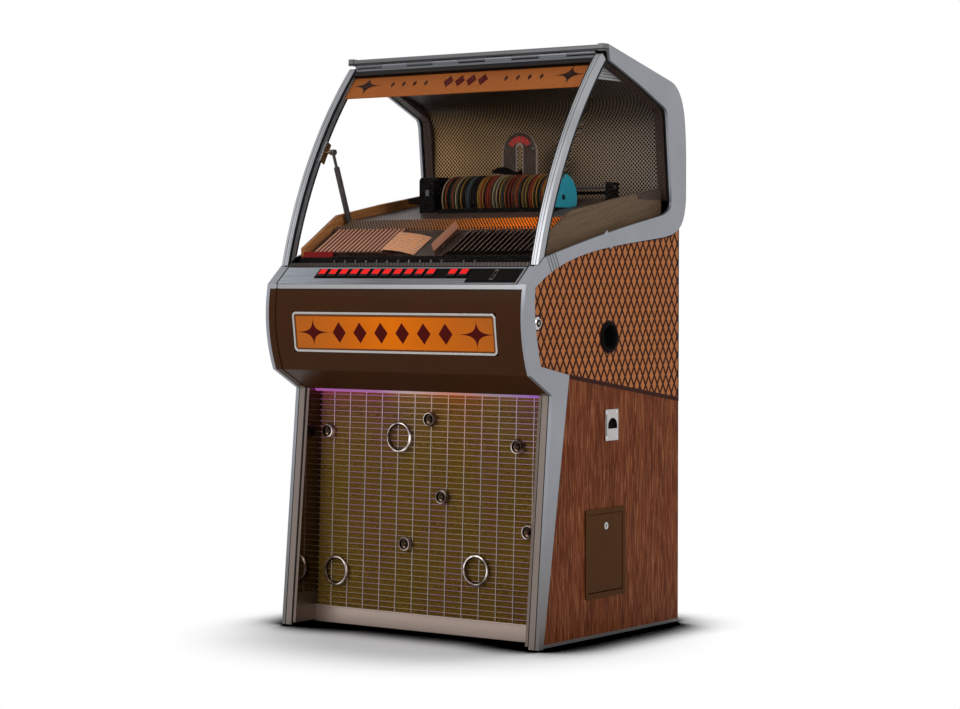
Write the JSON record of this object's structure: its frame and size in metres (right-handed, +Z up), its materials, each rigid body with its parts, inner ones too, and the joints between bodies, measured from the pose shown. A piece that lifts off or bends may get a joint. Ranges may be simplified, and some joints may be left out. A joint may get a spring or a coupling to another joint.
{
  "type": "cd jukebox",
  "caption": "Floor-standing CD jukebox with sweeping side mouldings, a lifting curved glass lid over a disc magazine, selection keys, a lit sign and a wire speaker grille.",
  "frame": {"origin": "on the floor, under the middle of the cabinet's bounding box", "axes": "+Z up, front towards -Y, +X to the right as seen from the front"},
  "size_m": [0.8, 0.7199, 1.46],
  "materials": {
    "dark_board": "dark painted board",
    "walnut": "satin walnut-grain board",
    "lattice_tan": "tan lattice overlay with dark strands",
    "satin_silver": "satin silver",
    "clear_glass": "clear glass",
    "black_sheet": "black painted sheet",
    "gold_mesh": "perforated gold sheet",
    "inner_wood": "orange-brown wood",
    "fascia_brown": "dark brown gloss paint",
    "bright_trim": "bright plated",
    "amber_lens": "amber lit lens",
    "black_plastic": "black plastic",
    "warm_steel": "brushed stainless steel",
    "speaker_cloth": "olive brown cloth",
    "lit_strip": "lit diffuser",
    "door_brown": "dark brown paint",
    "disc_silver": "coated polycarbonate",
    "page_card": "printed card",
    "rod_steel": "polished steel",
    "player_bronze": "bronze paint",
    "button_red": "red lit plastic"
  },
  "bodies": {
    "cabinet": {"base_board": "dark_board", "side_board_left": "walnut", "side_board_right": "walnut", "side_lattices": "lattice_tan", "side_trim_left": "satin_silver", "side_trim_right": "satin_silver", "side_windows": "clear_glass", "roof_panel": "black_sheet", "rear_panel": "black_sheet", "top_bar": "satin_silver", "backdrop": "gold_mesh", "deck": "inner_wood", "inner_cheeks": "inner_wood", "fascia": "fascia_brown", "sign_bezel": "bright_trim", "sign_window": "amber_lens", "button_shelf": "satin_silver", "control_plates": "black_plastic", "grille_frame": "warm_steel", "grille_baffle": "speaker_cloth", "wire_grille": "warm_steel", "grille_rings": "bright_trim", "light_strip": "lit_strip", "woofers": "black_sheet", "amplifier": "black_sheet", "coin_plate": "bright_trim", "coin_mech": "black_sheet", "cash_box": "warm_steel", "door_frame": "door_brown", "hand_cups": "black_plastic", "disc_tray": "black_plastic", "discs": "disc_silver", "drive_unit": "black_plastic", "page_stacks": "page_card"},
    "lid": {"lid_frame": "satin_silver", "lid_glass": "clear_glass", "header_panel": "amber_lens"},
    "strut_tube": {"strut_tube": "black_plastic"},
    "strut_rod": {"strut_rod": "rod_steel"},
    "cash_door": {"cash_door": "door_brown"},
    "cash_lock": {"cash_lock": "bright_trim"},
    "side_lock": {"side_lock": "bright_trim"},
    "coin_flap": {"coin_flap": "black_plastic"},
    "turning_page": {"turning_page": "page_card"},
    "lead_screw": {"lead_screw": "rod_steel"},
    "player_carriage": {"player_carriage": "player_bronze"},
    "gripper_arm": {"gripper_arm": "black_plastic"},
    "button_1": {"button_1": "button_red"},
    "button_2": {"button_2": "button_red"},
    "button_3": {"button_3": "button_red"},
    "button_4": {"button_4": "button_red"},
    "button_5": {"button_5": "button_red"},
    "button_6": {"button_6": "button_red"},
    "button_7": {"button_7": "button_red"},
    "button_8": {"button_8": "button_red"},
    "button_9": {"button_9": "button_red"},
    "button_0": {"button_0": "button_red"},
    "button_c": {"button_c": "button_red"},
    "button_left": {"button_left": "button_red"},
    "button_right": {"button_right": "button_red"}
  },
  "joints": [
    {"name": "lid_hinge", "type": "hinge", "parent": "cabinet", "child": "lid", "pos_m": [0, -0.022, 1.439], "axis": [-1, 0, 0], "range_deg": [0, 45]},
    {"name": "strut_swing", "type": "hinge", "parent": "cabinet", "child": "strut_tube", "pos_m": [-0.346, -0.024, 0.846], "axis": [1, 0, 0], "range_deg": [0, 5.81]},
    {"name": "strut_slide", "type": "slide", "parent": "strut_tube", "child": "strut_rod", "axis": [0, -0.3432, 0.9393], "range_m": [0, 0.1978]},
    {"name": "button_1_press", "type": "slide", "parent": "cabinet", "child": "button_1", "axis": [0, 0.6596, -0.7516], "range_m": [0, 0.003], "stiffness_N_per_m": 300},
    {"name": "button_2_press", "type": "slide", "parent": "cabinet", "child": "button_2", "axis": [0, 0.6596, -0.7516], "range_m": [0, 0.003], "stiffness_N_per_m": 300},
    {"name": "button_3_press", "type": "slide", "parent": "cabinet", "child": "button_3", "axis": [0, 0.6596, -0.7516], "range_m": [0, 0.003], "stiffness_N_per_m": 300},
    {"name": "button_4_press", "type": "slide", "parent": "cabinet", "child": "button_4", "axis": [0, 0.6596, -0.7516], "range_m": [0, 0.003], "stiffness_N_per_m": 300},
    {"name": "button_5_press", "type": "slide", "parent": "cabinet", "child": "button_5", "axis": [0, 0.6596, -0.7516], "range_m": [0, 0.003], "stiffness_N_per_m": 300},
    {"name": "button_6_press", "type": "slide", "parent": "cabinet", "child": "button_6", "axis": [0, 0.6596, -0.7516], "range_m": [0, 0.003], "stiffness_N_per_m": 300},
    {"name": "button_7_press", "type": "slide", "parent": "cabinet", "child": "button_7", "axis": [0, 0.6596, -0.7516], "range_m": [0, 0.003], "stiffness_N_per_m": 300},
    {"name": "button_8_press", "type": "slide", "parent": "cabinet", "child": "button_8", "axis": [0, 0.6596, -0.7516], "range_m": [0, 0.003], "stiffness_N_per_m": 300},
    {"name": "button_9_press", "type": "slide", "parent": "cabinet", "child": "button_9", "axis": [0, 0.6596, -0.7516], "range_m": [0, 0.003], "stiffness_N_per_m": 300},
    {"name": "button_0_press", "type": "slide", "parent": "cabinet", "child": "button_0", "axis": [0, 0.6596, -0.7516], "range_m": [0, 0.003], "stiffness_N_per_m": 300},
    {"name": "button_c_press", "type": "slide", "parent": "cabinet", "child": "button_c", "axis": [0, 0.6596, -0.7516], "range_m": [0, 0.003], "stiffness_N_per_m": 300},
    {"name": "button_left_press", "type": "slide", "parent": "cabinet", "child": "button_left", "axis": [0, 0.6596, -0.7516], "range_m": [0, 0.003], "stiffness_N_per_m": 300},
    {"name": "button_right_press", "type": "slide", "parent": "cabinet", "child": "button_right", "axis": [0, 0.6596, -0.7516], "range_m": [0, 0.003], "stiffness_N_per_m": 300},
    {"name": "carriage_slide", "type": "slide", "parent": "cabinet", "child": "player_carriage", "axis": [1, 0, 0], "range_m": [-0.14, 0.19]},
    {"name": "lead_screw_spin", "type": "hinge", "parent": "cabinet", "child": "lead_screw", "pos_m": [0, 0.211, 1.11872], "axis": [1, 0, 0], "range_deg": [-1265, 1715]},
    {"name": "gripper_swing", "type": "hinge", "parent": "player_carriage", "child": "gripper_arm", "pos_m": [0.005, 0.198, 1.16128], "axis": [-1, 0, 0], "range_deg": [0, 30]},
    {"name": "page_turn", "type": "hinge", "parent": "cabinet", "child": "turning_page", "pos_m": [0.058, -0.25359, 0.94351], "axis": [0, 0.8611, 0.5085], "range_deg": [-65, 65]},
    {"name": "cash_door_hinge", "type": "hinge", "parent": "cabinet", "child": "cash_door", "pos_m": [0.3885, 0.001, 0.119], "axis": [0, 1, 0], "range_deg": [0, 90]},
    {"name": "cash_lock_turn", "type": "hinge", "parent": "cash_door", "child": "cash_lock", "pos_m": [0.39, 0.001, 0.277], "axis": [-1, 0, 0], "range_deg": [0, 90]},
    {"name": "side_lock_turn", "type": "hinge", "parent": "cabinet", "child": "side_lock", "pos_m": [0.388, -0.291, 0.78], "axis": [1, 0, 0], "range_deg": [0, 90]},
    {"name": "coin_flap_swing", "type": "hinge", "parent": "cabinet", "child": "coin_flap", "pos_m": [0.3845, 0.029, 0.5465], "axis": [0, 1, 0], "range_deg": [0, 60]}
  ],
  "couplings": [
    {"joint": "strut_swing", "follows": "lid_hinge", "ratio": 0.12897},
    {"joint": "strut_slide", "follows": "lid_hinge", "m_per_rad": 0.25167},
    {"joint": "lead_screw_spin", "follows": "carriage_slide", "rad_per_m": 157.08}
  ]
}
